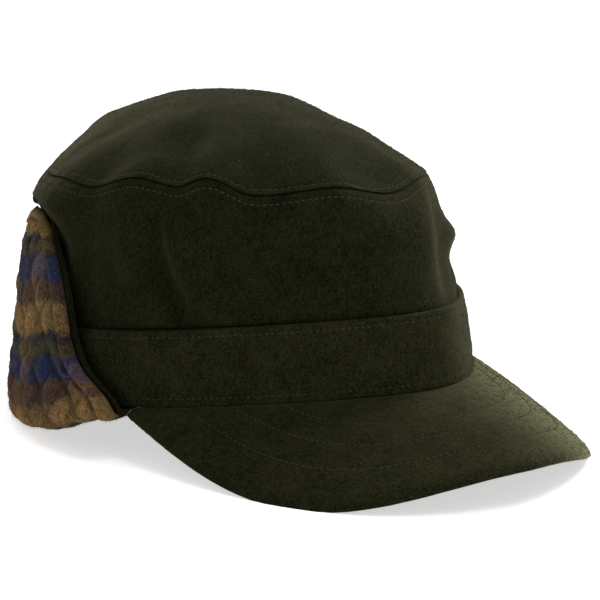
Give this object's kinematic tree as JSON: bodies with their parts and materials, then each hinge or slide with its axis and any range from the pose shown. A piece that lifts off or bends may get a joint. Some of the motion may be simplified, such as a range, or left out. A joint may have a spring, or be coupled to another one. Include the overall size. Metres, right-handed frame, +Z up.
{
  "type": "cap with earflaps",
  "caption": "Soft wool cap with a domed tip, a side panel, a band, a stiff curved peak and a wrap-round quilted earflap folded up outside.",
  "frame": {"origin": "on the resting surface, under the middle of the cap's overall box", "axes": "+Z up, the peak points to -Y, the wearer's left is +X"},
  "size_m": [0.1968, 0.276, 0.1277],
  "materials": {
    "wool_felt": "matt, dark olive, slightly napped",
    "plaid_flannel": "brushed flannel check in rust, ochre, navy and olive, diamond quilted"
  },
  "bodies": {
    "root": {"band": "wool_felt", "crown_side": "wool_felt", "crown_tip": "wool_felt", "peak": "wool_felt", "earflap_shell": "wool_felt", "earflap_lining": "plaid_flannel"}
  },
  "joints": []
}
